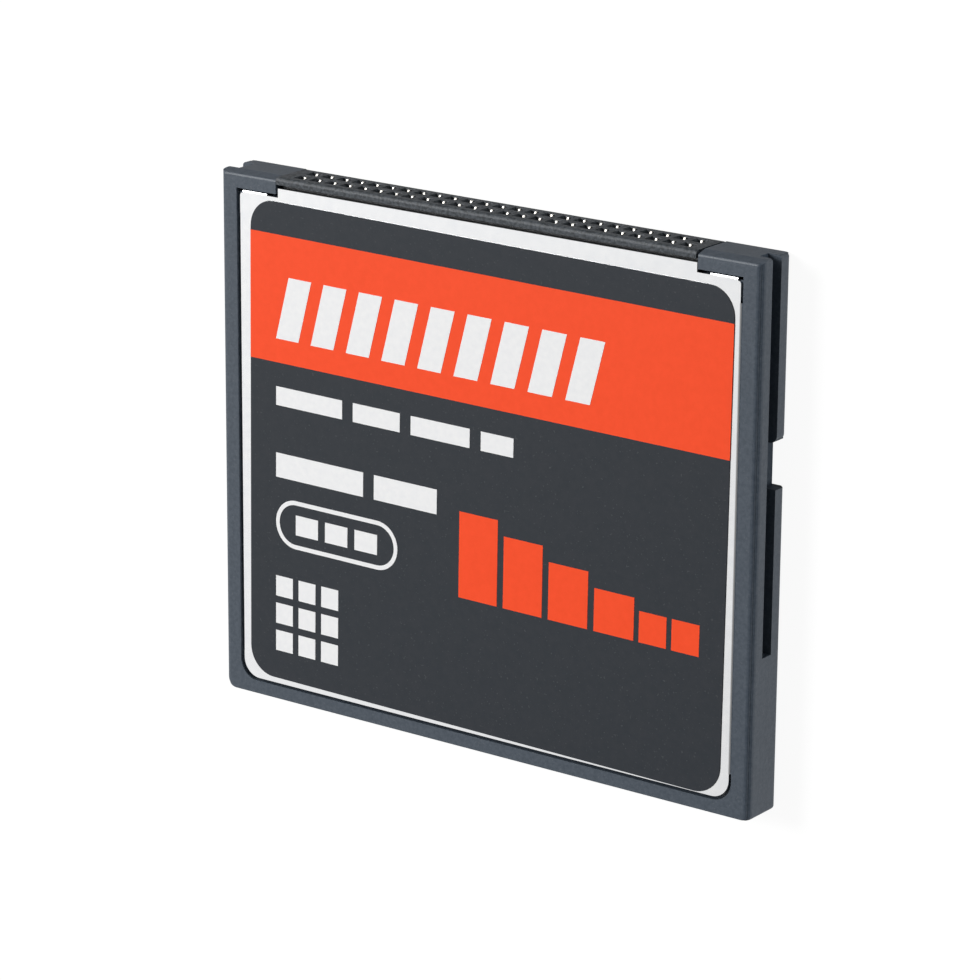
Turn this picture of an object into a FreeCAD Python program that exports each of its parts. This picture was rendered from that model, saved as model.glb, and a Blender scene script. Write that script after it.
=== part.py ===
import FreeCAD, Part
import math
import os

# A compact flash memory card of the first thickness, lying on its plain side.
# X runs across the card, Y towards the socket end and Z up to the label side.
# The origin is the middle of the plain side's face. All sizes are in millimetres.

V = FreeCAD.Vector

# Card outline
card_width = 42.8
card_length = 36.4
card_thickness = 3.3
long_edge_round = 0.25
corner_round = 0.25
tail_round_label = 0.08
tail_round_plain = 0.45
socket_round_plain = 0.12
nose_length = 0.36
nose_height = 0.75
nose_round = 0.25

# Moulded frame
rail_width = 1.36
tail_width = 0.93
tail_shelf = 2.2
block_depth = 1.15
inner_corner_round = 1.4
guide_depth = 0.99
guide_length = 25.78
right_guide_flange = 1.14
right_guide_slot = 1.01
left_guide_flange = 0.76
left_guide_slot = 1.60
catch_from_end = 12.0
catch_length = 3.0
catch_round = 0.5
corner_shelf_clearance = 0.3
end_channel_depth = 0.85
seat_channel_width = 0.28
seat_channel_depth = 0.3
lug_reach = 0.22
lug_height = 0.6
lug_length = 2.4
lug_count = 3

# Stamped covers
cover_recess = 0.10
sheet = 0.15
cover_gap = 0.10
tail_gap = 0.18
end_fold_gap = 0.05
plain_edge_inset = 0.14
bend_radius = 0.20
fold_clearance = 0.02
leg_to_leg = 0.4
end_leg = 0.75
window_foot = 0.3
window_gap = 0.08
tongue_gap = 0.12
tongue_to_lip = 0.19
side_fold_from_round = 0.45
side_fold_end_gap = 1.70
corner_tip_round = 0.20
relief_width = 0.23
relief_depth = 0.26
notch_width = 0.98
notch_depth = 0.19

# Socket connector
corner_block = 4.6
contact_pitch = 1.27
row_spacing = 1.27
end_wall = 1.45
housing_depth = 5.2
housing_lip = 0.58
lip_round = 0.27
lip_channel_depth = 0.25
left_housing_gap = 0.02
right_housing_gap = 0.15
mouth = 0.85
mouth_depth = 0.35
cavity_width = 0.55
key_reach = 0.55
key_width = 1.0
key_from_lip = 1.9
key_gap = 0.08

# Formed contacts
contact_width = 0.32
contact_sheet = 0.13
contact_tip_depth = 0.05
contact_throat_depth = 0.40
contact_throat = 0.22
contact_fork_depth = 3.3
contact_tail = 1.55
contact_rear_setback = 0.3
contact_mouth_gap = 0.02

# Circuit board and insulating films
board_thickness = 0.5
board_side_gap = 0.15
board_slot_depth = 0.7
board_slot_gap = 0.05
board_end_gap = 0.1
film = 0.05
film_margin = 0.4

# Chips
chip_standoff = 0.05
chip_headroom = 0.05
chip_draft = 0.08
lead_sheet = 0.13
lead_width = 0.22
lead_pitch = 0.5
lead_foot = 0.5
pin_mark_radius = 0.45
pin_mark_depth = 0.06
pin_mark_inset = 1.2
memory_width = 12.0
memory_body_length = 18.4
memory_lead_reach = 0.8
memory_lead_inset = 0.25
memory_margin = 1.6
controller_body = 10.0
controller_lead_reach = 1.0
controller_lead_inset = 1.2
controller_x = -3.0

# Small parts on the board
small_pitch = 2.2
resistor_size = (1.0, 0.5)
resistor_height = 0.35
resistors_on_label_side = 6
resistors_on_plain_side = 4
resistor_to_tails = 1.9
controller_to_resistors = 2.05
capacitor_size = (1.6, 0.8)
capacitor_headroom = 0.3
capacitors_on_label_side = 5
capacitors_on_plain_side = 4
capacitor_to_controller = 2.0
end_cap = 0.25
end_cap_skin = 0.02
column_from_edge = 4.4
regulator_body_size = (2.9, 1.6)
regulator_lead_pitch = 0.95
regulator_lead_reach = 0.6
regulator_drop = 5.6
crystal_size = (2.5, 3.2)
crystal_base_height = 0.45
crystal_lid_height = 0.25
crystal_lid_inset = 0.2
crystal_rise = 4.5
tantalum_size = (1.6, 3.2)
tantalum_headroom = 0.15
tantalum_bevel = 0.25
tantalum_drop = 0.4

# Label and its print
label_thickness = 0.05
print_thickness = 0.015
label_side_margin = 0.78
label_tail_margin = 0.22
label_top_margin = 0.42
label_shift = 0.13
label_round = 1.95
label_tilt = -0.55
print_left = 2.2
print_right = 1.85
label_top_gap = 2.2
band_height = 8.75
band_gap = 1.65
upper_row_height = 1.3
upper_row_lengths = (5.6, 3.9, 4.8, 2.6)
upper_row_gap = 3.3
lower_row_height = 1.7
lower_row_lengths = (7.4, 5.2)
lower_row_gap = 1.4
row_space = 0.9
pill_size = (10.3, 3.4)
pill_line = 0.3
pill_bar_size = (1.9, 1.4)
pill_bar_step = 2.5
pill_bar_count = 3
pill_gap = 2.15
square_size = 1.45
square_step = 1.95
squares_per_side = 3
label_tail_gap = 2.0
slant_bar_size = (1.9, 4.3)
slant_bar_step = 2.95
slant_bar_rise = 1.65
slant_angle = 14
slant_bars_right = 8.0
blocks_from_pill = 3.4
blocks_below_pill = 0.5
small_block_size = 2.1
small_block_step = 2.5
small_block_count = 2
block_width = 3.1
block_step = 3.6
block_low = 2.9
block_rise = 1.0

half_width = card_width / 2
half_length = card_length / 2
middle = card_thickness / 2

rail_face = half_width - rail_width
contact_columns = 1 + int((card_width - 2 * (corner_block + end_wall)) / contact_pitch)
block_face = (contact_columns - 1) * contact_pitch / 2 + end_wall
block_edge = half_length - block_depth
tail_lip = -half_length + tail_width
shelf_face = -half_length + tail_shelf

cover_face = card_thickness - cover_recess
cover_inside = cover_face - sheet
cover_edge = rail_face - cover_gap
flat_edge = cover_edge - plain_edge_inset
cover_tail = tail_lip + tail_gap
cover_corner = block_edge - end_fold_gap
cover_round = inner_corner_round - cover_gap
fold_start = cover_tail + cover_round + side_fold_from_round
fold_end = block_edge - side_fold_end_gap
side_leg = middle - cover_recess - leg_to_leg / 2
lug_flat = cover_face - side_leg + window_foot
corner_shelf_end = half_length - housing_depth + corner_shelf_clearance

connector_rear = half_length - housing_depth
row_height = row_spacing / 2
board_top = middle + board_thickness / 2
cavity_half = row_height - board_thickness / 2
board_edge = cover_edge - sheet - board_side_gap
board_tail = shelf_face - board_slot_depth + board_end_gap
board_head = connector_rear - board_end_gap
room_top = cover_inside - film
tails_end = connector_rear - contact_tail
past = 1.0


def box(x0, x1, y0, y1, z0, z1):
    """A block between two corners."""
    return Part.makeBox(x1 - x0, y1 - y0, z1 - z0, V(x0, y0, z0))


def outline(corners, z):
    """A closed wire at height z through corners (x, y, radius), sharp where the radius is 0."""
    points = [V(x, y, z) for x, y, radius in corners]
    stations = []
    for index, corner in enumerate(corners):
        here = points[index]
        back = (points[index - 1] - here).normalize()
        ahead = (points[(index + 1) % len(points)] - here).normalize()
        radius = corner[2]
        if radius == 0:
            stations.append((here, None, here))
            continue
        half_angle = back.getAngle(ahead) / 2
        reach = radius / math.tan(half_angle)
        towards_centre = (back + ahead).normalize()
        crown = here + towards_centre * (radius / math.sin(half_angle) - radius)
        stations.append((here + back * reach, crown, here + ahead * reach))
    edges = []
    for index, station in enumerate(stations):
        start, crown, end = station
        if crown:
            edges.append(Part.Arc(start, crown, end).toShape())
        following = stations[(index + 1) % len(stations)][0]
        if end.distanceToPoint(following) > 1e-6:
            edges.append(Part.LineSegment(end, following).toShape())
    return Part.Wire(edges)


def plate(corners, z0, z1):
    """A flat plate with the given outline between two heights."""
    return Part.Face(outline(corners, z0)).extrude(V(0, 0, z1 - z0))


def rounded_rectangle(x, y, width, length, radius):
    """Corners of a rectangle about (x, y)."""
    return [
        (x - width / 2, y - length / 2, radius),
        (x + width / 2, y - length / 2, radius),
        (x + width / 2, y + length / 2, radius),
        (x - width / 2, y + length / 2, radius),
    ]


def mirror_x(shape):
    """The same shape on the other side of the card's long middle plane."""
    return shape.mirror(V(0, 0, 0), V(1, 0, 0))


def turn_over(shape):
    """The same shape on the other side of the card's mid-thickness plane."""
    return shape.mirror(V(0, 0, middle), V(0, 0, 1))


def profile_along_y(points, y0, y1):
    """A bar of constant section, given as (x, z) points, from y0 to y1."""
    wire = Part.makePolygon([V(x, y0, z) for x, z in points + points[:1]])
    return Part.Face(wire).extrude(V(0, y1 - y0, 0))


def profile_along_x(points, x0, x1):
    """A bar of constant section, given as (y, z) points, from x0 to x1."""
    wire = Part.makePolygon([V(x0, y, z) for y, z in points + points[:1]])
    return Part.Face(wire).extrude(V(x1 - x0, 0, 0))


def lug_places():
    """Middle of each snap lug along a rail, evenly spaced over the covers' side folds."""
    step = (fold_end - fold_start) / lug_count
    return [fold_start + step * (index + 0.5) for index in range(lug_count)]


def frame_blank():
    """The card's outer block, in which its plan, its cross section and its long section meet."""
    plan = plate(rounded_rectangle(0, 0, card_width, card_length, corner_round), 0, card_thickness)
    across = [
        (-half_width, 0, long_edge_round),
        (half_width, 0, long_edge_round),
        (half_width, card_thickness, long_edge_round),
        (-half_width, card_thickness, long_edge_round),
    ]
    cross_section = plate(across, -half_length, half_length)
    cross_section.rotate(V(0, 0, 0), V(1, 0, 0), 90)
    along = [
        (-half_length, 0, tail_round_plain),
        (half_length, 0, socket_round_plain),
        (half_length, card_thickness - nose_height, 0),
        (half_length - nose_length, card_thickness, nose_round),
        (-half_length, card_thickness, tail_round_label),
    ]
    long_section = plate(along, -half_width, half_width)
    long_section.rotate(V(0, 0, 0), V(1, 1, 1), 120)
    return plan.common(cross_section).common(long_section)


def cover_seat():
    """The shallow bed that a cover lies in, cut from the label side."""
    corners = [
        (-rail_face, tail_lip, inner_corner_round),
        (rail_face, tail_lip, inner_corner_round),
        (rail_face, block_edge, 0),
        (block_face, block_edge, 0),
        (block_face, half_length + past, 0),
        (-block_face, half_length + past, 0),
        (-block_face, block_edge, 0),
        (-rail_face, block_edge, 0),
    ]
    return plate(corners, cover_inside, card_thickness + past)


def seat_channel():
    """The narrow channel in the seat under the cover's tail edge and rounded corners."""
    inset = seat_channel_width
    end = tail_lip + inner_corner_round
    outer = [
        (-rail_face, tail_lip, inner_corner_round),
        (rail_face, tail_lip, inner_corner_round),
        (rail_face, end, 0),
        (-rail_face, end, 0),
    ]
    inner = [
        (-rail_face + inset, tail_lip + inset, inner_corner_round - inset),
        (rail_face - inset, tail_lip + inset, inner_corner_round - inset),
        (rail_face - inset, end + past, 0),
        (-rail_face + inset, end + past, 0),
    ]
    floor = cover_inside - seat_channel_depth
    return plate(outer, floor, card_thickness).cut(plate(inner, floor - past, card_thickness + past))


def end_fold_channel():
    """The slot behind a corner block that takes the cover's folded end, on the label side."""
    floor = cover_inside - end_channel_depth
    start = cover_corner - bend_radius - fold_clearance
    return box(block_face, rail_face, start, block_edge, floor, card_thickness)


def guide_slot(flange, slot):
    """The guide groove of the right side, open at the socket end."""
    top = card_thickness - flange
    floor = half_width - guide_depth
    return box(floor, half_width + past, half_length - guide_length, half_length + past, top - slot, top)


def catch_notch(flange, slot):
    """The gap in the plain-side flange of the right guide, with its rounded outer corner."""
    top = card_thickness - flange - slot
    start = half_length - catch_from_end - catch_length
    end = half_length - catch_from_end
    floor = half_width - guide_depth
    outside = half_width + catch_round
    corners = [
        (floor, start, 0),
        (outside, start, 0),
        (outside, end + catch_round, 0),
        (half_width, end + catch_round, 0),
        (half_width, end, catch_round),
        (floor, end, 0),
    ]
    return plate(corners, -past, top)


def snap_lug(y):
    """A wedge on the right rail that snaps into a window of the label-side cover's fold."""
    points = [
        (rail_face, lug_flat),
        (rail_face - lug_reach, lug_flat),
        (rail_face, lug_flat + lug_height),
    ]
    return profile_along_y(points, y - lug_length / 2, y + lug_length / 2)


def frame():
    """The one-piece moulded frame."""
    body = frame_blank()
    cuts = [cover_seat(), turn_over(cover_seat()), seat_channel(), turn_over(seat_channel())]
    cuts.append(box(-rail_face, rail_face, shelf_face, corner_shelf_end, -past, card_thickness + past))
    cuts.append(box(-block_face, block_face, shelf_face, half_length + past, -past, card_thickness + past))
    slot_half = board_thickness / 2 + board_slot_gap
    slot_edge = board_edge + board_slot_gap
    slot_back = shelf_face - board_slot_depth
    cuts.append(box(-slot_edge, slot_edge, slot_back, shelf_face, middle - slot_half, middle + slot_half))
    right_cuts = [end_fold_channel(), turn_over(end_fold_channel())]
    key_slot_end = block_face + key_reach + key_gap
    key_end = half_length - housing_lip - key_from_lip
    right_cuts.append(box(
        0, key_slot_end, key_end - key_width - key_gap, key_end + key_gap, 0, card_thickness))
    fold_slot = cover_edge - bend_radius - fold_clearance
    right_cuts.append(box(fold_slot, rail_face, 0, fold_end + cover_gap, 0, card_thickness))
    cuts.extend(right_cuts)
    cuts.extend([mirror_x(shape) for shape in right_cuts])
    cuts.append(guide_slot(right_guide_flange, right_guide_slot))
    cuts.append(catch_notch(right_guide_flange, right_guide_slot))
    cuts.append(mirror_x(guide_slot(left_guide_flange, left_guide_slot)))
    cuts.append(mirror_x(catch_notch(left_guide_flange, left_guide_slot)))
    body = body.cut(cuts)
    lugs = []
    for y in lug_places():
        for lug in (snap_lug(y), turn_over(snap_lug(y))):
            lugs.append(lug)
            lugs.append(mirror_x(lug))
    return body.fuse(lugs).removeSplitter()


def fold_section(edge, leg, along):
    """Closed wire of a folded edge: the bend's two arcs and the leg down to its end."""
    outer = bend_radius
    inner = bend_radius - sheet
    start = edge - outer
    centre_z = cover_face - outer
    corner = math.sqrt(0.5)

    def at(out, z):
        if along == "y":
            return V(out, 0, z)
        return V(0, out, z)

    leg_end = cover_face - leg
    edges = [
        Part.Arc(at(start, cover_face), at(start + outer * corner, centre_z + outer * corner),
                 at(edge, centre_z)).toShape(),
        Part.LineSegment(at(edge, centre_z), at(edge, leg_end)).toShape(),
        Part.LineSegment(at(edge, leg_end), at(edge - sheet, leg_end)).toShape(),
        Part.LineSegment(at(edge - sheet, leg_end), at(edge - sheet, centre_z)).toShape(),
        Part.Arc(at(edge - sheet, centre_z), at(start + inner * corner, centre_z + inner * corner),
                 at(start, cover_inside)).toShape(),
        Part.LineSegment(at(start, cover_inside), at(start, cover_face)).toShape(),
    ]
    return Part.Wire(edges)


def cover():
    """The stamped label-side cover with its folded sides, folded corners and tongue."""
    side_line = cover_edge - bend_radius
    end_line = cover_corner - bend_radius
    end_fold_out = flat_edge - relief_width
    tongue_side = block_face - tongue_gap
    end_fold_in = tongue_side + notch_width
    notch_floor = cover_corner - notch_depth
    tongue_top = half_length - housing_lip - tongue_to_lip
    right = [
        (flat_edge, cover_tail, cover_round),
        (flat_edge, fold_start, 0),
        (side_line, fold_start, 0),
        (side_line, fold_end, 0),
        (flat_edge, fold_end, 0),
        (flat_edge, cover_corner - relief_depth, corner_tip_round),
        (end_fold_out, cover_corner - relief_depth, 0),
        (end_fold_out, end_line, 0),
        (end_fold_in, end_line, 0),
        (end_fold_in, notch_floor, 0),
        (tongue_side, notch_floor, 0),
        (tongue_side, tongue_top, 0),
    ]
    left = [(-x, y, radius) for x, y, radius in reversed(right)]
    body = plate(right + left, cover_inside, cover_face)
    side = Part.Face(fold_section(cover_edge, side_leg, "y"))
    side.translate(V(0, fold_start, 0))
    side_fold = side.extrude(V(0, fold_end - fold_start, 0))
    end = Part.Face(fold_section(cover_corner, end_leg, "x"))
    end.translate(V(end_fold_in, 0, 0))
    end_fold = end.extrude(V(end_fold_out - end_fold_in, 0, 0))
    body = body.fuse([side_fold, mirror_x(side_fold), end_fold, mirror_x(end_fold)])
    windows = []
    for y in lug_places():
        half = lug_length / 2 + window_gap
        window = box(cover_edge - 2 * sheet, cover_edge + past, y - half, y + half,
                     lug_flat - window_gap, lug_flat + lug_height)
        windows.append(window)
        windows.append(mirror_x(window))
    return body.cut(windows).removeSplitter()


def insulating_film():
    """The thin film on the inner face of the label-side cover, clear of the shelves."""
    edge = board_edge - film_margin
    return box(-edge, edge, shelf_face + film_margin, connector_rear - film_margin, room_top, cover_inside)


def tapered_block(near, far, y0, y1):
    """A block about the Y axis whose half sizes (x, z) go from near at y0 to far at y1."""
    return Part.makeWedge(-near[0], y0, -near[1], -far[1], -far[0],
                          near[0], y1, near[1], far[1], far[0])


def socket_cutter():
    """One socket about its own axis: a tapered mouth and a straight cavity to the rear."""
    throat = half_length - mouth_depth
    narrow = (cavity_width / 2, cavity_half)
    funnel = tapered_block(narrow, (mouth / 2, mouth / 2), throat, half_length)
    cavity = box(-narrow[0], narrow[0], connector_rear, throat, -narrow[1], narrow[1])
    return funnel.fuse(cavity)


def column_places():
    """X of each contact column."""
    first = -(contact_columns - 1) * contact_pitch / 2
    return [first + index * contact_pitch for index in range(contact_columns)]


def connector_housing():
    """The moulded 50-way socket housing, between the two covers, with its full-height lip."""
    left = -block_face + left_housing_gap
    right = block_face - right_housing_gap
    lip_back = half_length - housing_lip
    lip = box(left, right, lip_back, half_length, 0, card_thickness)
    rims = []
    for edge in lip.Edges:
        bounds = edge.BoundBox
        if bounds.XLength > 1 and bounds.YMin > half_length - 0.01:
            rims.append(edge)
    lip = lip.makeFillet(lip_round, rims)
    body = box(left, right, connector_rear, lip_back, card_thickness - cover_inside, cover_inside)
    key_end = lip_back - key_from_lip
    key_height = (card_thickness - cover_inside, cover_inside)
    right_key = box(right, block_face + key_reach, key_end - key_width, key_end, *key_height)
    left_key = box(-block_face - key_reach, left, key_end - key_width, key_end, *key_height)
    body = body.fuse([lip, right_key, left_key])
    channel = box(left, right, lip_back - tongue_to_lip, lip_back,
                  cover_inside - lip_channel_depth, card_thickness)
    cuts = [channel, turn_over(channel)]
    cutter = socket_cutter()
    for x in column_places():
        for side in (-1, 1):
            socket = cutter.copy()
            socket.translate(V(x, 0, middle + side * row_height))
            cuts.append(socket)
    return body.cut(cuts).removeSplitter()


def contact_outline():
    """Side view of one label-row contact: two sprung beams, a pressed-in base and a straight tail."""
    row = middle + row_height
    tip = half_length - contact_tip_depth
    throat = half_length - contact_throat_depth
    fork = half_length - contact_fork_depth
    rear = connector_rear + contact_rear_setback
    tip_out = mouth / 2 - contact_mouth_gap
    throat_half = contact_throat / 2
    upper = [
        (rear, cavity_half),
        (fork, cavity_half),
        (throat, throat_half + contact_sheet),
        (tip, tip_out),
        (tip, tip_out - contact_sheet),
        (throat, throat_half),
    ]
    lower = [(y, -height) for y, height in reversed(upper[1:])]
    tail = [
        (tails_end, -cavity_half),
        (tails_end, -cavity_half + contact_sheet),
        (rear, -cavity_half + contact_sheet),
    ]
    crotch = [(fork, 0)]
    return [(y, row + height) for y, height in upper + crotch + lower + tail]


def contact_row():
    """The contacts of the label-side row."""
    contact = profile_along_x(contact_outline(), -contact_width / 2, contact_width / 2)
    row = []
    for x in column_places():
        piece = contact.copy()
        piece.translate(V(x, 0, 0))
        row.append(piece)
    return Part.makeCompound(row)


def circuit_board():
    """The thin board between the contacts' tails and the slot in the frame's tail."""
    return box(-board_edge, board_edge, board_tail, board_head, middle - board_thickness / 2, board_top)


def chip_body(x, y, width, length):
    """A moulded package over the board's label side, with drafted sides."""
    low = board_top + chip_standoff
    high = room_top - chip_headroom
    part_line = (low + high) / 2
    wide = (width / 2, length / 2)
    narrow = (wide[0] - chip_draft, wide[1] - chip_draft)
    body = tapered_block(narrow, wide, low, part_line).fuse(tapered_block(wide, narrow, part_line, high))
    body.rotate(V(0, 0, 0), V(1, 0, 0), 90)
    body.translate(V(x, y, 0))
    return body


def marked_chip(x, y, width, length):
    """A package with the round first-pin dimple in its corner."""
    top = room_top - chip_headroom
    mark = Part.makeCylinder(
        pin_mark_radius, pin_mark_depth,
        V(x - width / 2 + pin_mark_inset, y + length / 2 - pin_mark_inset, top - pin_mark_depth))
    return chip_body(x, y, width, length).cut(mark)


def lead_row(x, y, reach, count, pitch, angle):
    """A row of formed leads that leaves a package at (x, y), turned by the angle about the middle."""
    low = board_top + chip_standoff
    high = room_top - chip_headroom
    exit_height = (low + high) / 2
    points = [
        (0, exit_height + lead_sheet / 2),
        (reach - lead_foot, board_top + lead_sheet),
        (reach, board_top + lead_sheet),
        (reach, board_top),
        (reach - lead_foot - lead_sheet / 2, board_top),
        (0, exit_height - lead_sheet / 2),
    ]
    lead = profile_along_x(points, -lead_width / 2, lead_width / 2)
    row = []
    for index in range(count):
        piece = lead.copy()
        piece.translate(V((index - (count - 1) / 2) * pitch, 0, 0))
        piece.rotate(V(0, 0, 0), V(0, 0, 1), angle)
        piece.translate(V(x, y, 0))
        row.append(piece)
    return row


# Places of the parts on the board
memory_x = memory_margin + memory_width / 2 - board_edge
memory_y = (shelf_face + tails_end) / 2
controller_reach = controller_body / 2 + controller_lead_reach
resistor_y = tails_end - resistor_to_tails - resistor_size[1] / 2
controller_y = resistor_y - resistor_size[1] / 2 - controller_to_resistors - controller_reach
capacitor_y = controller_y - controller_reach - capacitor_to_controller - capacitor_size[1] / 2
column_x = board_edge - column_from_edge
crystal_y = controller_y + crystal_rise
tantalum_y = controller_y - tantalum_drop
regulator_y = controller_y - regulator_drop
capacitor_height = room_top - board_top - capacitor_headroom
tantalum_height = room_top - board_top - tantalum_headroom


def leads_along(side, inset):
    """How many leads fit along a side of a package, clear of its corners."""
    return 1 + int((side - 2 * inset) / lead_pitch)


def memory_leads():
    """The leads at both short ends of the memory chip."""
    end = memory_body_length / 2
    count = leads_along(memory_width, memory_lead_inset)
    far = lead_row(memory_x, memory_y + end, memory_lead_reach, count, lead_pitch, 0)
    near = lead_row(memory_x, memory_y - end, memory_lead_reach, count, lead_pitch, 180)
    return Part.makeCompound(far + near)


def controller_leads():
    """The leads on all four sides of the controller."""
    side = controller_body / 2
    count = leads_along(controller_body, controller_lead_inset)
    rows = []
    for angle, dx, dy in ((0, 0, side), (90, -side, 0), (180, 0, -side), (270, side, 0)):
        rows += lead_row(controller_x + dx, controller_y + dy, controller_lead_reach,
                         count, lead_pitch, angle)
    return Part.makeCompound(rows)


def regulator_leads():
    """Three leads on one side of the regulator and two on the other."""
    side = regulator_body_size[1] / 2
    three = lead_row(column_x, regulator_y + side, regulator_lead_reach, 3, regulator_lead_pitch, 0)
    two = lead_row(column_x, regulator_y - side, regulator_lead_reach, 2, 2 * regulator_lead_pitch, 180)
    return Part.makeCompound(three + two)


def crystal_case():
    """The ceramic tray of the timing crystal."""
    width, length = crystal_size
    return box(column_x - width / 2, column_x + width / 2, crystal_y - length / 2, crystal_y + length / 2,
               board_top, board_top + crystal_base_height)


def crystal_lid():
    """The metal lid on the crystal's tray."""
    width, length = crystal_size
    low = board_top + crystal_base_height
    inset = 2 * crystal_lid_inset
    corners = rounded_rectangle(column_x, crystal_y, width - inset, length - inset, 0)
    return plate(corners, low, low + crystal_lid_height)


def tantalum_capacitor():
    """The moulded block capacitor with a bevel along its marked end."""
    width, length = tantalum_size
    low = board_top
    high = board_top + tantalum_height
    y0 = tantalum_y - length / 2
    y1 = tantalum_y + length / 2
    points = [
        (y0, low),
        (y1, low),
        (y1, high - tantalum_bevel),
        (y1 - tantalum_bevel, high),
        (y0, high),
    ]
    return profile_along_x(points, column_x - width / 2, column_x + width / 2)


def chip_part(x, y, size, height):
    """A two-ended chip part: its ceramic middle and its two metal ends."""
    length, width = size
    body_half = length / 2 - end_cap
    body = box(x - body_half, x + body_half, y - width / 2, y + width / 2, board_top, board_top + height)
    ends = []
    for side in (-1, 1):
        inner = x + side * body_half
        outer = x + side * length / 2
        ends.append(box(min(inner, outer), max(inner, outer), y - width / 2 - end_cap_skin,
                        y + width / 2 + end_cap_skin, board_top, board_top + height + end_cap_skin))
    return body, ends


def chip_parts(places, size, height):
    """A group of like chip parts: all bodies and all ends. Places below the board are turned over."""
    bodies = []
    ends = []
    for x, y, below in places:
        body, caps = chip_part(x, y, size, height)
        if below:
            body = turn_over(body)
            caps = [turn_over(cap) for cap in caps]
        bodies.append(body)
        ends.extend(caps)
    return Part.makeCompound(bodies), Part.makeCompound(ends)


def row_places(y, on_label_side, on_plain_side):
    """A row about the controller's middle, and one mirrored to the other half of the plain side."""
    places = []
    for x, count, below in ((controller_x, on_label_side, False), (-controller_x, on_plain_side, True)):
        for index in range(count):
            places.append((x + (index - (count - 1) / 2) * small_pitch, y, below))
    return places


# The label's own frame: u from its left edge, v from its tail edge
label_width = 2 * (cover_edge - label_side_margin)
label_bottom = cover_tail + label_tail_margin
label_top = cover_corner - notch_depth - label_top_margin
label_height = label_top - label_bottom
label_left = label_shift - label_width / 2
label_centre = V(label_shift, (label_bottom + label_top) / 2, 0)
label_face = cover_face + label_thickness
band_face = label_face + print_thickness

# The print's rows from the label's tail edge up, spread evenly over its height
squares_height = (squares_per_side - 1) * square_step + square_size
rows_height = band_height + upper_row_height + lower_row_height + pill_size[1] + squares_height
gaps_height = label_top_gap + band_gap + upper_row_gap + lower_row_gap + pill_gap + label_tail_gap
spread = (label_height - rows_height) / gaps_height
squares_v = label_tail_gap * spread
pill_v = squares_v + squares_height + pill_gap * spread
lower_row_v = pill_v + pill_size[1] + lower_row_gap * spread
upper_row_v = lower_row_v + lower_row_height + upper_row_gap * spread
band_v = upper_row_v + upper_row_height + band_gap * spread


def on_label(corners, z0, z1):
    """A plate given in the label's own frame, turned with the label's slight tilt."""
    moved = [(label_left + u, label_bottom + v, radius) for u, v, radius in corners]
    piece = plate(moved, z0, z1)
    piece.rotate(label_centre, V(0, 0, 1), label_tilt)
    return piece


def rectangle(u, v, width, height, radius=0, slant=0):
    """Corners of a bar from its lower left corner, with an optional slant of its sides."""
    shift = height * math.tan(math.radians(slant))
    return [
        (u, v, radius),
        (u + width, v, radius),
        (u + width + shift, v + height, radius),
        (u + shift, v + height, radius),
    ]


def label_sheet():
    """The label: a dark film with rounded corners, stuck on slightly askew."""
    return on_label(rectangle(0, 0, label_width, label_height, label_round), cover_face, label_face)


def print_band():
    """The broad band across the label."""
    return on_label(rectangle(0, band_v, label_width, band_height), label_face, band_face)


def ink(corners, ground):
    """A printed shape on the given ground."""
    return on_label(corners, ground, ground + print_thickness)


def pill(u, v):
    """A rounded outline of even line width, with a row of bars inside."""
    width, height = pill_size
    inner_width = width - 2 * pill_line
    inner_height = height - 2 * pill_line
    outer = ink(rectangle(u, v, width, height, height / 2), label_face)
    inner = on_label(rectangle(u + pill_line, v + pill_line, inner_width, inner_height, inner_height / 2),
                     label_face - past, label_face + past)
    shapes = [outer.cut(inner)]
    bar_width, bar_height = pill_bar_size
    first = u + width / 2 - bar_width / 2 - (pill_bar_count - 1) / 2 * pill_bar_step
    for index in range(pill_bar_count):
        bar = rectangle(first + index * pill_bar_step, v + (height - bar_height) / 2, bar_width, bar_height)
        shapes.append(ink(bar, label_face))
    return shapes


def bar_row(v, height, lengths):
    """A row of short bars from the print's left edge."""
    shapes = []
    u = print_left
    for length in lengths:
        shapes.append(ink(rectangle(u, v, length, height), label_face))
        u += length + row_space
    return shapes


def print_pale():
    """Pale print: slanted bars on the band, two rows of short bars, a pill and a block of squares."""
    shapes = []
    width, height = slant_bar_size
    for index in range(int((label_width - print_left - slant_bars_right) / slant_bar_step)):
        bar = rectangle(print_left + index * slant_bar_step, band_v + slant_bar_rise,
                        width, height, 0, slant_angle)
        shapes.append(ink(bar, band_face))
    shapes.extend(bar_row(upper_row_v, upper_row_height, upper_row_lengths))
    shapes.extend(bar_row(lower_row_v, lower_row_height, lower_row_lengths))
    shapes.extend(pill(print_left, pill_v))
    for row in range(squares_per_side):
        for column in range(squares_per_side):
            square = rectangle(print_left + column * square_step, squares_v + row * square_step,
                               square_size, square_size)
            shapes.append(ink(square, label_face))
    return Part.makeCompound(shapes)


def print_bright():
    """Bright print: rising blocks and then small square ones, ending near the label's right edge."""
    shapes = []
    v = pill_v - blocks_below_pill
    u = label_width - print_right
    for index in range(small_block_count):
        block = rectangle(u - small_block_size, v, small_block_size, small_block_size)
        shapes.append(ink(block, label_face))
        u -= small_block_step
    room = u - print_left - pill_size[0] - blocks_from_pill
    for index in range(int(room / block_step)):
        block = rectangle(u - block_width, v, block_width, block_low + index * block_rise)
        shapes.append(ink(block, label_face))
        u -= block_step
    return Part.makeCompound(shapes)


capacitor_places = row_places(capacitor_y, capacitors_on_label_side, capacitors_on_plain_side)
resistor_places = row_places(resistor_y, resistors_on_label_side, resistors_on_plain_side)
capacitor_bodies, capacitor_ends = chip_parts(capacitor_places, capacitor_size, capacitor_height)
resistor_bodies, resistor_ends = chip_parts(resistor_places, resistor_size, resistor_height)

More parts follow.
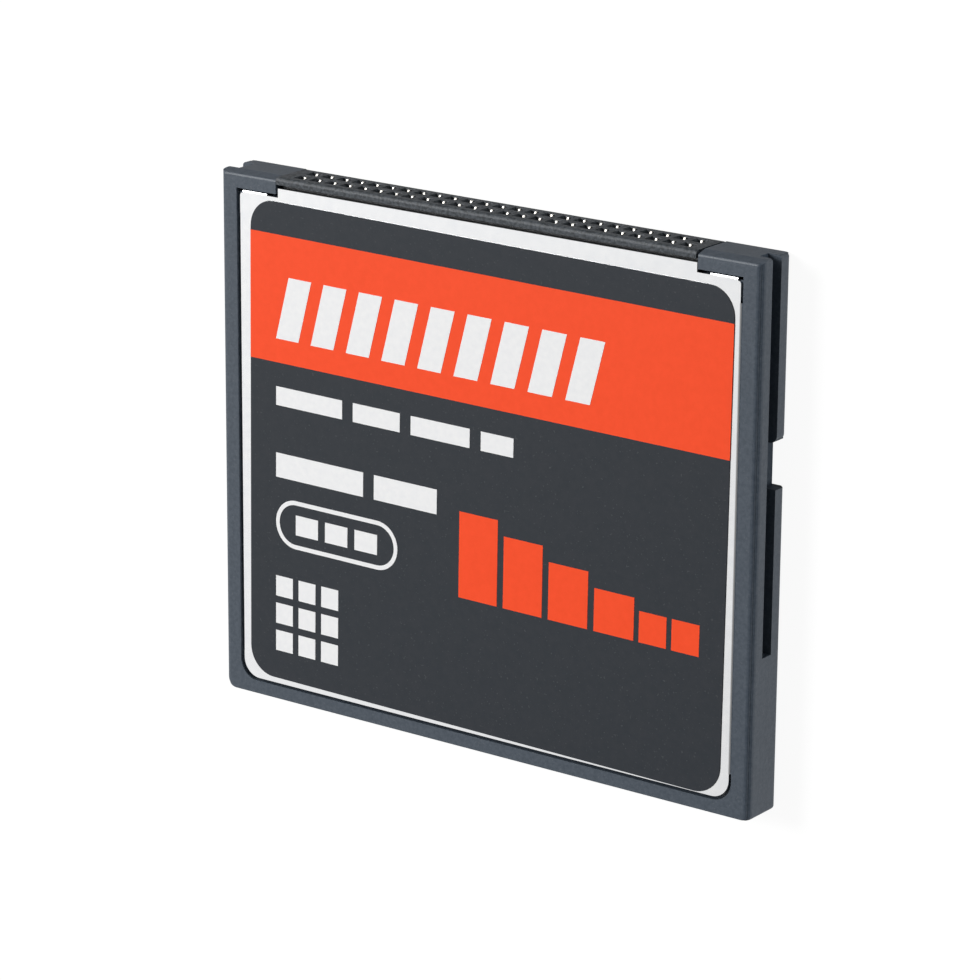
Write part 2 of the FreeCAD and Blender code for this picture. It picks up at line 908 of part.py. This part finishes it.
nodes = {
    "frame": frame(),
    "label_cover": cover(),
    "plain_cover": turn_over(cover()),
    "label_side_film": insulating_film(),
    "plain_side_film": turn_over(insulating_film()),
    "connector_housing": connector_housing(),
    "contacts_label_row": contact_row(),
    "contacts_plain_row": turn_over(contact_row()),
    "circuit_board": circuit_board(),
    "controller_chip": marked_chip(controller_x, controller_y, controller_body, controller_body),
    "controller_leads": controller_leads(),
    "memory_chip": turn_over(marked_chip(memory_x, memory_y, memory_width, memory_body_length)),
    "memory_leads": turn_over(memory_leads()),
    "regulator_body": chip_body(column_x, regulator_y, *regulator_body_size),
    "regulator_leads": regulator_leads(),
    "crystal_case": crystal_case(),
    "crystal_lid": crystal_lid(),
    "tantalum_capacitor": tantalum_capacitor(),
    "capacitor_bodies": capacitor_bodies,
    "capacitor_ends": capacitor_ends,
    "resistor_bodies": resistor_bodies,
    "resistor_ends": resistor_ends,
    "label_sheet": label_sheet(),
    "print_band": print_band(),
    "print_pale": print_pale(),
    "print_bright": print_bright(),
}

os.makedirs("parts", exist_ok=True)
for name, shape in nodes.items():
    shape.exportStep(f"parts/{name}.step")
    print(name, len(shape.Solids), shape.isValid(), round(shape.Volume, 3))
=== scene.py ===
import math

import bmesh
import bpy
from mathutils import Matrix, Vector


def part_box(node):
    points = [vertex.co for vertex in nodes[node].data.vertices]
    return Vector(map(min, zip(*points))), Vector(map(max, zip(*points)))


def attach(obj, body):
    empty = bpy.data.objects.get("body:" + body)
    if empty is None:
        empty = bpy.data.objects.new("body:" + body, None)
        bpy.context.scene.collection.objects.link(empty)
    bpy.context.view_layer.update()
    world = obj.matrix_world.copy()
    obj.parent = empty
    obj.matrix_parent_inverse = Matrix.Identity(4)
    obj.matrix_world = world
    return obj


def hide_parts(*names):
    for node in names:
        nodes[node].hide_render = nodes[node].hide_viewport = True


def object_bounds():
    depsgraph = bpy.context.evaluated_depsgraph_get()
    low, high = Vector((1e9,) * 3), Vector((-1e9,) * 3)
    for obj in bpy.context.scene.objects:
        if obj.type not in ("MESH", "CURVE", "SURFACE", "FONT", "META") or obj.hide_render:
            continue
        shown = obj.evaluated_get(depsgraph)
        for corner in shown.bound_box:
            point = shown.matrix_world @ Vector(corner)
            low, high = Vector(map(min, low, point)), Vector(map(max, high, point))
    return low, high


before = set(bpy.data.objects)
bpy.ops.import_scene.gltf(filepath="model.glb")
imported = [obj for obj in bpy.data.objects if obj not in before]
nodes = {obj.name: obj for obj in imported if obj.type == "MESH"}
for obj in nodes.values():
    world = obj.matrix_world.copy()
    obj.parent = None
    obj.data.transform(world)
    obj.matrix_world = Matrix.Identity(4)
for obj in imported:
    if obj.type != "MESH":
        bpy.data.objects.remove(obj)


# The viewing place of the photograph, found from the card's own corners and edges.
# The card lies label side up, so the camera looks down on it with the same perspective.
scene = bpy.context.scene
scene.view_settings.view_transform = "Standard"
mm = 0.001
eye = Vector((156.28, 79.30, 215.23)) * mm
aim = Vector((-0.209, -0.641, 1.65)) * mm
roll = math.radians(0.434)
lens_to_sensor = 4.3314
sensor = 36.0

sight = (aim - eye).normalized()
across = sight.cross(Vector((0, 1, 0))).normalized()
up = across.cross(sight)
upright = Matrix((across, up, -sight)).transposed()
camera_data = bpy.data.cameras.new("camera")
camera_data.sensor_width = sensor
camera_data.lens = lens_to_sensor * sensor
camera_data.clip_start = 0.01
camera = bpy.data.objects.new("camera", camera_data)
camera.matrix_world = Matrix.Translation(eye) @ (upright @ Matrix.Rotation(roll, 3, "Z")).to_4x4()
scene.collection.objects.link(camera)
scene.camera = camera


# The studio has a soft key lamp high on the left, a low strip lamp for the right side, a lamp that only
# draws the shine along the socket end's edges, and a pale dome over a white table top. The camera sees
# both as white, and steel and plastic mirror a pale wall that falls off towards the right.
card_box = [list(corner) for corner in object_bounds()]
dome_top = 0.20
dome_left = 0.35
mirrored_middle = 0.29
mirrored_left = 1.0
mirrored_right = 0.2

dome = bpy.data.worlds.new("pale dome")
dome.use_nodes = True
tree = dome.node_tree


def math_node(tree, operation, first, second):
    """A math node on two inputs, each a number or another node's output."""
    node = tree.nodes.new("ShaderNodeMath")
    node.operation = operation
    for socket, value in zip(node.inputs, (first, second)):
        if isinstance(value, (int, float)):
            socket.default_value = value
        else:
            tree.links.new(value, socket)
    return node.outputs[0]


def seen_plainly(tree):
    """1 for rays from the camera and through clear film, and 0 for all others."""
    rays = tree.nodes.new("ShaderNodeLightPath").outputs
    return math_node(tree, "MAXIMUM", rays["Is Camera Ray"], rays["Is Transmission Ray"])


def seen_in_mirror(tree):
    """1 for rays that a glossy surface mirrors."""
    return tree.nodes.new("ShaderNodeLightPath").outputs["Is Glossy Ray"]


towards = tree.nodes.new("ShaderNodeTexCoord")
split = tree.nodes.new("ShaderNodeSeparateXYZ")
tree.links.new(towards.outputs["Generated"], split.inputs["Vector"])
leftward = math_node(tree, "MULTIPLY", split.outputs["X"], -1.0)
lit_left = math_node(tree, "MULTIPLY", math_node(tree, "MAXIMUM", leftward, 0.0), dome_left)
light = math_node(tree, "ADD", lit_left, dome_top)
rise = math_node(tree, "MULTIPLY", math_node(tree, "MAXIMUM", leftward, 0.0), mirrored_left)
fall = math_node(tree, "MULTIPLY", math_node(tree, "MINIMUM", leftward, 0.0), mirrored_right)
mirror = math_node(tree, "ADD", math_node(tree, "ADD", rise, fall), mirrored_middle)
plain = seen_plainly(tree)
glossy = seen_in_mirror(tree)
lighting = math_node(tree, "SUBTRACT", math_node(tree, "SUBTRACT", 1.0, plain), glossy)
lit_part = math_node(tree, "MULTIPLY", light, math_node(tree, "MAXIMUM", lighting, 0.0))
mirror_part = math_node(tree, "MULTIPLY", mirror, glossy)
strength = math_node(tree, "ADD", math_node(tree, "ADD", lit_part, mirror_part), plain)
tree.links.new(strength, tree.nodes["Background"].inputs["Strength"])
tree.nodes["Background"].inputs["Color"].default_value = (1, 1, 1, 1)
scene.world = dome


def soft_lamp(name, place, size, watts):
    """A rectangular lamp at a place, turned to the card."""
    data = bpy.data.lights.new(name, "AREA")
    data.shape = "RECTANGLE"
    data.size, data.size_y = size
    data.energy = watts
    lamp = bpy.data.objects.new(name, data)
    turn = place.to_track_quat("Z", "Y").to_matrix().to_4x4()
    lamp.matrix_world = Matrix.Translation(place) @ turn
    scene.collection.objects.link(lamp)
    return lamp


key_distance = 0.75
key_place = Vector((-0.565, 0.275, 0.778)) * key_distance
soft_lamp("key lamp", key_place, size=(0.24, 0.24), watts=4.7)
strip_place = Vector((0.48, 0.02, 0.014))
strip_lamp = soft_lamp("strip lamp", strip_place, size=(0.40, 0.024), watts=0.8)
strip_lamp.visible_glossy = False
edge_distance = 0.6
edge_place = Vector((-0.563, 0.632, 0.534)) * edge_distance
edge_lamp = soft_lamp("edge lamp", edge_place, size=(0.30, 0.22), watts=1.9)
edge_lamp.visible_diffuse = False

table_half_width = 2.0
table_grey = (0.42, 0.42, 0.42)
table_glow = 1.24
glow_seen = 0.75
glow_mirrored = 0.08
glow_mirrored_right = 0.75

table_mesh = bpy.data.meshes.new("table_top")
grid = bmesh.new()
bmesh.ops.create_grid(grid, x_segments=1, y_segments=1, size=table_half_width)
grid.to_mesh(table_mesh)
grid.free()
table_top = bpy.data.objects.new("table_top", table_mesh)
scene.collection.objects.link(table_top)
white = bpy.data.materials.new("white table")
white.use_nodes = True
tree = white.node_tree
paint = tree.nodes["Principled BSDF"]
paint.inputs["Base Color"].default_value = (*table_grey, 1)
paint.inputs["Roughness"].default_value = 0.9
paint.inputs["Specular IOR Level"].default_value = 0.0
lit = tree.nodes.new("ShaderNodeEmission")
lit.inputs["Strength"].default_value = table_glow
blend = tree.nodes.new("ShaderNodeMixShader")
plain = math_node(tree, "MULTIPLY", seen_plainly(tree), glow_seen)
place = tree.nodes.new("ShaderNodeTexCoord")
split = tree.nodes.new("ShaderNodeSeparateXYZ")
tree.links.new(place.outputs["Object"], split.inputs["Vector"])
right_of_card = math_node(tree, "GREATER_THAN", split.outputs["X"], card_box[1][0])
added_right = math_node(tree, "MULTIPLY", right_of_card, glow_mirrored_right)
mirrored_share = math_node(tree, "ADD", added_right, glow_mirrored)
mirrored = math_node(tree, "MULTIPLY", seen_in_mirror(tree), mirrored_share)
tree.links.new(math_node(tree, "ADD", plain, mirrored), blend.inputs["Fac"])
tree.links.new(paint.outputs["BSDF"], blend.inputs[1])
tree.links.new(lit.outputs["Emission"], blend.inputs[2])
tree.links.new(blend.outputs["Shader"], tree.nodes["Material Output"].inputs["Surface"])
table_mesh.materials.append(white)


def plain_material(name, colour, roughness, metal=0.0, specular=0.5):
    """A new material with its shader's own values set."""
    made = bpy.data.materials.new(name)
    made.use_nodes = True
    shader = made.node_tree.nodes["Principled BSDF"]
    shader.inputs["Base Color"].default_value = (*colour, 1)
    shader.inputs["Roughness"].default_value = roughness
    shader.inputs["Metallic"].default_value = metal
    shader.inputs["Specular IOR Level"].default_value = specular
    return made


def speckle(made, size, low, high, softness=0.2):
    """Varies a material's colour between two tones in cloudy grains of the given size."""
    tree = made.node_tree
    place = tree.nodes.new("ShaderNodeTexCoord")
    noise = tree.nodes.new("ShaderNodeTexNoise")
    noise.inputs["Scale"].default_value = 1 / size
    noise.inputs["Detail"].default_value = 4
    tree.links.new(place.outputs["Object"], noise.inputs["Vector"])
    tones = tree.nodes.new("ShaderNodeValToRGB")
    tones.color_ramp.elements[0].position = 0.5 - softness
    tones.color_ramp.elements[0].color = (*low, 1)
    tones.color_ramp.elements[1].position = 0.5 + softness
    tones.color_ramp.elements[1].color = (*high, 1)
    tree.links.new(noise.outputs["Fac"], tones.inputs["Fac"])
    tree.links.new(tones.outputs["Color"], tree.nodes["Principled BSDF"].inputs["Base Color"])


def grain(made, size, depth, stretch=(1, 1, 1)):
    """Adds a fine raised grain of the given size and depth, drawn out along an axis if asked."""
    tree = made.node_tree
    place = tree.nodes.new("ShaderNodeTexCoord")
    turn = tree.nodes.new("ShaderNodeMapping")
    turn.inputs["Scale"].default_value = stretch
    noise = tree.nodes.new("ShaderNodeTexNoise")
    noise.inputs["Scale"].default_value = 1 / size
    noise.inputs["Detail"].default_value = 3
    bump = tree.nodes.new("ShaderNodeBump")
    bump.inputs["Distance"].default_value = depth
    tree.links.new(place.outputs["Object"], turn.inputs["Vector"])
    tree.links.new(turn.outputs["Vector"], noise.inputs["Vector"])
    tree.links.new(noise.outputs["Fac"], bump.inputs["Height"])
    tree.links.new(bump.outputs["Normal"], tree.nodes["Principled BSDF"].inputs["Normal"])


def reshaped(node, name, made, move, cuts=()):
    """Puts in a node's place a copy of it, cut across at planes and with its corners moved a little."""
    merged_within = 0.0001 * mm
    mesh = bpy.data.meshes.new(name)
    shape = bmesh.new()
    shape.from_mesh(nodes[node].data)
    bmesh.ops.remove_doubles(shape, verts=shape.verts, dist=merged_within)
    for point, facing in cuts:
        whole = shape.verts[:] + shape.edges[:] + shape.faces[:]
        bmesh.ops.bisect_plane(shape, geom=whole, plane_co=point, plane_no=facing, dist=merged_within)
    for corner in shape.verts:
        move(corner.co)
    for face in shape.faces:
        face.smooth = False
    shape.to_mesh(mesh)
    shape.free()
    mesh.materials.append(made)
    piece = bpy.data.objects.new(name, mesh)
    scene.collection.objects.link(piece)
    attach(piece, "root")
    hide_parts(node)


def flecks(made, size, share, colour):
    """Scatters small flecks of a second colour over a material, covering about the given share."""
    none_below, full_above = 0.72, 0.78
    tree = made.node_tree
    place = tree.nodes.new("ShaderNodeTexCoord")
    noise = tree.nodes.new("ShaderNodeTexNoise")
    noise.inputs["Scale"].default_value = 1 / size
    noise.inputs["Detail"].default_value = 1
    tree.links.new(place.outputs["Object"], noise.inputs["Vector"])
    mask = tree.nodes.new("ShaderNodeValToRGB")
    mask.color_ramp.elements[0].position = none_below - share
    mask.color_ramp.elements[1].position = full_above - share
    tree.links.new(noise.outputs["Fac"], mask.inputs["Fac"])
    mix = tree.nodes.new("ShaderNodeMix")
    mix.data_type = "RGBA"
    base = tree.nodes["Principled BSDF"].inputs["Base Color"]
    tree.links.new(mask.outputs["Color"], mix.inputs["Factor"])
    tree.links.new(base.links[0].from_socket, mix.inputs["A"])
    mix.inputs["B"].default_value = (*colour, 1)
    tree.links.new(mix.outputs["Result"], base)


frame_plastic = plain_material("frame plastic", (0.052, 0.067, 0.088), 0.45, specular=0.36)
speckle(frame_plastic, 0.25 * mm, (0.043, 0.058, 0.078), (0.061, 0.078, 0.101), 0.14)
flecks(frame_plastic, 0.12 * mm, 0.04, (0.085, 0.10, 0.12))
grain(frame_plastic, 0.11 * mm, 0.012 * mm)

frame_low, frame_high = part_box("frame")
nose_height = 0.75 * mm
nose_from_end = 0.5 * mm
nose_filled = 0.15 * mm
long_edge_round = 0.45 * mm
left_corner_round = 0.60 * mm
right_corner_round = 0.25 * mm
facets = 3


def rounded(first, second):
    """Draws a square corner in to a round one, from a place's distances past its two tangents."""
    if first <= 0 or second <= 0:
        return first, second
    share = max(first, second) / math.hypot(first, second)
    return first * share, second * share


def worn_frame(place):
    """Fills the slope at the socket end, then rounds the tail's left corner and the long edges."""
    rise = place.z - (frame_high[2] - nose_height)
    if rise > 0 and place.y > frame_high[1] - nose_from_end:
        place.y += nose_filled * rise / nose_height
    side = math.copysign(1, place.x)
    half = frame_high[2] / 2
    over = math.copysign(1, place.z - half)
    corner_round = right_corner_round if side > 0 else left_corner_round
    corner_x = frame_high[0] - corner_round
    corner_y = frame_low[1] + corner_round
    past_x, past_y = abs(place.x) - corner_x, corner_y - place.y
    if side < 0:
        past_x, past_y = rounded(past_x, past_y)
    place.y = corner_y - past_y
    into_corner = min(max(past_y, 0), corner_round)
    outline_x = corner_x + math.sqrt(corner_round ** 2 - into_corner ** 2)
    edge_x = outline_x - long_edge_round
    edge_z = half - long_edge_round
    past_x, past_z = rounded(corner_x + past_x - edge_x, abs(place.z - half) - edge_z)
    place.x = side * (edge_x + past_x)
    place.z = half + over * (edge_z + past_z)


rounding_cuts = []
for step in range(facets):
    along_edge = long_edge_round * (1 - step / facets)
    for side_x, corner_round in ((frame_low[0], left_corner_round), (frame_high[0], right_corner_round)):
        at_corner = corner_round * (1 - step / facets)
        for inset in (along_edge, at_corner, corner_round + along_edge):
            rounding_cuts.append(((side_x - math.copysign(inset, side_x), 0, 0), (1, 0, 0)))
        rounding_cuts.append(((0, frame_low[1] + at_corner, 0), (0, 1, 0)))
    for z in (frame_low[2] + along_edge, frame_high[2] - along_edge):
        rounding_cuts.append(((0, 0, z), (0, 0, 1)))
reshaped("frame", "moulded_frame", frame_plastic, worn_frame, rounding_cuts)


# The covers are stamped from thin stainless sheet and folded over the frame's rails and corners.
# Rolling leaves faint lines along the card's width.
def dress(node, made):
    """Gives a CAD node its finish."""
    for slot in nodes[node].material_slots:
        slot.material = made


cover_steel = plain_material("rolled steel", (0.90, 0.91, 0.92), 0.22, metal=1.0)
speckle(cover_steel, 0.6 * mm, (0.87, 0.88, 0.895), (0.92, 0.925, 0.93))
grain(cover_steel, 0.05 * mm, 0.0008 * mm, (0.08, 1, 1))
dress("label_cover", cover_steel)
dress("plain_cover", cover_steel)


# Amber insulating film, die-cut from a clear sheet, is stuck to the inner face of each cover and keeps
# the steel off the board's parts.
amber_film = plain_material("amber film", (0.60, 0.26, 0.05), 0.22, specular=0.5)
speckle(amber_film, 1.5 * mm, (0.55, 0.23, 0.04), (0.64, 0.29, 0.06))
grain(amber_film, 0.4 * mm, 0.002 * mm)
dress("label_side_film", amber_film)
dress("plain_side_film", amber_film)


# The socket housing is a glass-filled moulding in nearly the frame's colour, mottled where the fibres
# reach its skin. The mould's pins leave the sockets and the channel behind its lip. Behind the lip and
# below the housing's top the colour is painted near-black, a painted shade for the channel's shadow.
housing_plastic = plain_material("housing plastic", (0.048, 0.058, 0.070), 0.5, specular=0.28)
speckle(housing_plastic, 0.22 * mm, (0.018, 0.023, 0.028), (0.060, 0.069, 0.080), 0.09)
flecks(housing_plastic, 0.12 * mm, 0.06, (0.11, 0.12, 0.13))
grain(housing_plastic, 0.11 * mm, 0.016 * mm)

housing_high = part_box("connector_housing")[1]
socket_face = housing_high[1]
lip_depth = 0.58 * mm
lip_trimmed = 0.08 * mm
lip_back = socket_face - lip_depth
recess_overlap = 0.008 * mm
recess_front = lip_back + lip_trimmed + recess_overlap
recess_below_face = 0.03 * mm
recess_top = housing_high[2] - recess_below_face
painted_recess_shade = (0.004, 0.005, 0.006)
same_place = 0.01 * mm

# Painted shade: the housing's colour goes near-black behind its lip and below its top, standing in for
# the shadow in the channel there.
tree = housing_plastic.node_tree
place = tree.nodes.new("ShaderNodeTexCoord")
split = tree.nodes.new("ShaderNodeSeparateXYZ")
tree.links.new(place.outputs["Object"], split.inputs["Vector"])
behind_lip = math_node(tree, "LESS_THAN", split.outputs["Y"], recess_front)
below_face = math_node(tree, "LESS_THAN", split.outputs["Z"], recess_top)
shade = tree.nodes.new("ShaderNodeMix")
shade.data_type = "RGBA"
base = tree.nodes["Principled BSDF"].inputs["Base Color"]
tree.links.new(math_node(tree, "MULTIPLY", behind_lip, below_face), shade.inputs["Factor"])
tree.links.new(base.links[0].from_socket, shade.inputs["A"])
shade.inputs["B"].default_value = (*painted_recess_shade, 1)
tree.links.new(shade.outputs["Result"], base)


def trimmed_lip(place):
    """Takes a little off the back of the housing's lip, which widens the dark channel behind it."""
    if abs(place.y - lip_back) < same_place:
        place.y += lip_trimmed


reshaped("connector_housing", "socket_housing", housing_plastic, trimmed_lip)


# The contacts are stamped and folded from spring strip with a thin bright plating. Their lead-in
# tips are ground narrower than the strip, and show as bright slivers in the mouths.
column_pitch = 1.27 * mm
tip_share = 0.42
ground_length = 0.6 * mm
throat_depth = 0.40 * mm
throat_set_back = 0.15 * mm


def ground_tips(place):
    """Narrows a contact's tips about its own column, and sets its throat deeper."""
    depth = socket_face - place.y
    if depth < ground_length:
        column = round(place.x / column_pitch) * column_pitch
        place.x = column + (place.x - column) * tip_share
    if abs(depth - throat_depth) < same_place:
        place.y -= throat_set_back


contact_plating = plain_material("contact plating", (0.86, 0.83, 0.77), 0.60, metal=1.0)
speckle(contact_plating, 0.1 * mm, (0.80, 0.77, 0.71), (0.90, 0.87, 0.82))
grain(contact_plating, 0.03 * mm, 0.0003 * mm)
for side in ("label", "plain"):
    reshaped(f"contacts_{side}_row", f"{side}_side_contacts", contact_plating, ground_tips)


# The circuit board is glass fibre laminate under green resist, through which the copper tracks show
# paler. The contacts' tails and a slot in the frame hold it.
board_resist = plain_material("board resist", (0.02, 0.12, 0.05), 0.35, specular=0.5)
tree = board_resist.node_tree
place = tree.nodes.new("ShaderNodeTexCoord")
tracks = tree.nodes.new("ShaderNodeTexBrick")
tracks.inputs["Scale"].default_value = 1 / (2.4 * mm)
tracks.inputs["Mortar Size"].default_value = 0.06
tracks.inputs["Mortar Smooth"].default_value = 0.2
tracks.inputs["Color1"].default_value = (0.012, 0.085, 0.035, 1)
tracks.inputs["Color2"].default_value = (0.015, 0.10, 0.04, 1)
tracks.inputs["Mortar"].default_value = (0.05, 0.20, 0.08, 1)
tree.links.new(place.outputs["Object"], tracks.inputs["Vector"])
tree.links.new(tracks.outputs["Color"], tree.nodes["Principled BSDF"].inputs["Base Color"])
raised = tree.nodes.new("ShaderNodeBump")
raised.inputs["Distance"].default_value = 0.02 * mm
tree.links.new(tracks.outputs["Fac"], raised.inputs["Height"])
tree.links.new(raised.outputs["Normal"], tree.nodes["Principled BSDF"].inputs["Normal"])
dress("circuit_board", board_resist)


# The packages of the controller, the memory chip and the regulator are moulded in black epoxy with
# a fine spark finish, on which the first-pin dimple is smooth.
chip_epoxy = plain_material("chip epoxy", (0.022, 0.022, 0.024), 0.6, specular=0.4)
speckle(chip_epoxy, 0.15 * mm, (0.018, 0.018, 0.020), (0.028, 0.028, 0.030))
grain(chip_epoxy, 0.05 * mm, 0.006 * mm)
dress("controller_chip", chip_epoxy)
dress("memory_chip", chip_epoxy)
dress("regulator_body", chip_epoxy)


# Leads and end caps are copper under matt tin. The leads are formed outwards in a press, and both are
# soldered to the board's pads.
matt_tin = plain_material("matt tin", (0.72, 0.72, 0.70), 0.38, metal=1.0)
speckle(matt_tin, 0.12 * mm, (0.64, 0.64, 0.62), (0.76, 0.76, 0.74))
grain(matt_tin, 0.05 * mm, 0.002 * mm)
dress("controller_leads", matt_tin)
dress("memory_leads", matt_tin)
dress("regulator_leads", matt_tin)
dress("capacitor_ends", matt_tin)
dress("resistor_ends", matt_tin)


# The timing crystal sits in a small tray of fired ceramic. A nickel-iron lid, welded along its seam,
# closes the tray.
fired_ceramic = plain_material("fired ceramic", (0.20, 0.17, 0.15), 0.55)
speckle(fired_ceramic, 0.1 * mm, (0.17, 0.145, 0.13), (0.24, 0.20, 0.175))
grain(fired_ceramic, 0.04 * mm, 0.004 * mm)
dress("crystal_case", fired_ceramic)
lid_metal = plain_material("lid metal", (0.78, 0.74, 0.66), 0.30, metal=1.0)
speckle(lid_metal, 0.3 * mm, (0.74, 0.70, 0.62), (0.82, 0.78, 0.70))
grain(lid_metal, 0.06 * mm, 0.0015 * mm, (1, 0.1, 1))
dress("crystal_lid", lid_metal)


# The tantalum capacitor is a sintered pellet moulded into a block of ochre epoxy, whose fine grain
# comes from the mould.
ochre_epoxy = plain_material("ochre epoxy", (0.62, 0.36, 0.07), 0.5)
speckle(ochre_epoxy, 0.2 * mm, (0.57, 0.32, 0.06), (0.66, 0.39, 0.085))
grain(ochre_epoxy, 0.06 * mm, 0.004 * mm)
dress("tantalum_capacitor", ochre_epoxy)


# The bodies of the chip capacitors are layers of tan ceramic fired into one block, and the resistors
# are ceramic chips under a dark glaze.
tan_ceramic = plain_material("tan ceramic", (0.42, 0.29, 0.17), 0.5)
speckle(tan_ceramic, 0.12 * mm, (0.37, 0.25, 0.145), (0.47, 0.33, 0.20))
grain(tan_ceramic, 0.05 * mm, 0.003 * mm)
dress("capacitor_bodies", tan_ceramic)
dark_glaze = plain_material("dark glaze", (0.03, 0.03, 0.035), 0.25)
speckle(dark_glaze, 0.1 * mm, (0.024, 0.024, 0.028), (0.038, 0.038, 0.044))
grain(dark_glaze, 0.08 * mm, 0.002 * mm)
dress("resistor_bodies", dark_glaze)


# The label is a printed film with a matt face: a dark ground with faint light specks, a band
# across it, and pale and bright shapes. The ink layers lie on the film.
label_film = plain_material("label film", (0.028, 0.033, 0.040), 0.45, specular=0.2)
speckle(label_film, 0.5 * mm, (0.021, 0.026, 0.033), (0.026, 0.030, 0.037))
flecks(label_film, 0.16 * mm, 0.03, (0.045, 0.05, 0.056))
grain(label_film, 0.12 * mm, 0.001 * mm)
dress("label_sheet", label_film)

ink_orange = plain_material("orange ink", (0.97, 0.075, 0.015), 0.45, specular=0.2)
speckle(ink_orange, 0.5 * mm, (0.95, 0.073, 0.014), (0.99, 0.079, 0.017))
grain(ink_orange, 0.12 * mm, 0.001 * mm)
dress("print_band", ink_orange)
dress("print_bright", ink_orange)

ink_pale = plain_material("pale ink", (0.90, 0.90, 0.90), 0.45, specular=0.2)
speckle(ink_pale, 0.4 * mm, (0.87, 0.875, 0.885), (0.92, 0.92, 0.92))
grain(ink_pale, 0.12 * mm, 0.001 * mm)
dress("print_pale", ink_pale)
